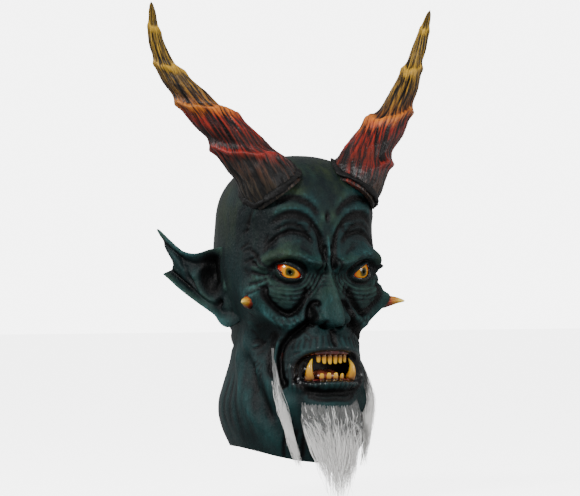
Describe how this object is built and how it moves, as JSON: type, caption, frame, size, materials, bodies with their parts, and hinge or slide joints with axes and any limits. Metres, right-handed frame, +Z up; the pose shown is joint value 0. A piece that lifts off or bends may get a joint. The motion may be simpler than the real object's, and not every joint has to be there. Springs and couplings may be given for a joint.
{
  "type": "horned demon costume mask",
  "caption": "Over-the-head rubber demon mask with twisted horns, pointed ears, cheek spikes, fanged open mouth and hanging white hair.",
  "frame": {"origin": "middle of the flat underside of the crown pad, where the top of the wearer's head bears", "axes": "+Z up, -Y out of the face, +X to the wearer's left"},
  "size_m": [0.3876, 0.2285, 0.577],
  "materials": {
    "skin_rubber": "satin, dry-brushed blue-green",
    "horn_rubber": "satin, sprayed from black-brown through red to yellow",
    "seam_rubber": "matte, rough",
    "foam": "open-cell foam, matte",
    "eye_plastic": "high gloss",
    "spike_rubber": "satin",
    "mouth_rubber": "gloss",
    "tooth_plastic": "gloss, stained at the root",
    "hair": "loose synthetic hair, white over grey roots"
  },
  "bodies": {
    "head": {"head_skin": "skin_rubber", "left_ear": "skin_rubber", "right_ear": "skin_rubber", "left_horn_shell": "horn_rubber", "right_horn_shell": "horn_rubber", "left_horn_seam": "seam_rubber", "right_horn_seam": "seam_rubber", "crown_pad": "foam", "left_horn_core": "foam", "right_horn_core": "foam", "left_eye": "eye_plastic", "right_eye": "eye_plastic", "left_cheek_spike": "spike_rubber", "right_cheek_spike": "spike_rubber", "upper_gum": "mouth_rubber", "lower_gum": "mouth_rubber", "tongue": "mouth_rubber", "mouth_pocket": "mouth_rubber", "upper_teeth": "tooth_plastic", "lower_teeth": "tooth_plastic", "left_tusk": "tooth_plastic", "right_tusk": "tooth_plastic"},
    "chin_hair": {"chin_beard": "hair"},
    "left_jaw_hair": {"left_jaw_beard": "hair"},
    "right_jaw_hair": {"right_jaw_beard": "hair"}
  },
  "joints": [
    {"name": "chin_beard_swing", "type": "hinge", "parent": "head", "child": "chin_hair", "pos_m": [0, -0.1025, -0.281], "axis": [-1, 0, 0], "range_deg": [0, 35]},
    {"name": "left_jaw_beard_swing", "type": "hinge", "parent": "head", "child": "left_jaw_hair", "pos_m": [0.066, -0.056, -0.222], "axis": [-0.6822, -0.7312, 0], "range_deg": [0, 30]},
    {"name": "right_jaw_beard_swing", "type": "hinge", "parent": "head", "child": "right_jaw_hair", "pos_m": [-0.066, -0.056, -0.222], "axis": [-0.6822, 0.7312, 0], "range_deg": [0, 30]}
  ]
}
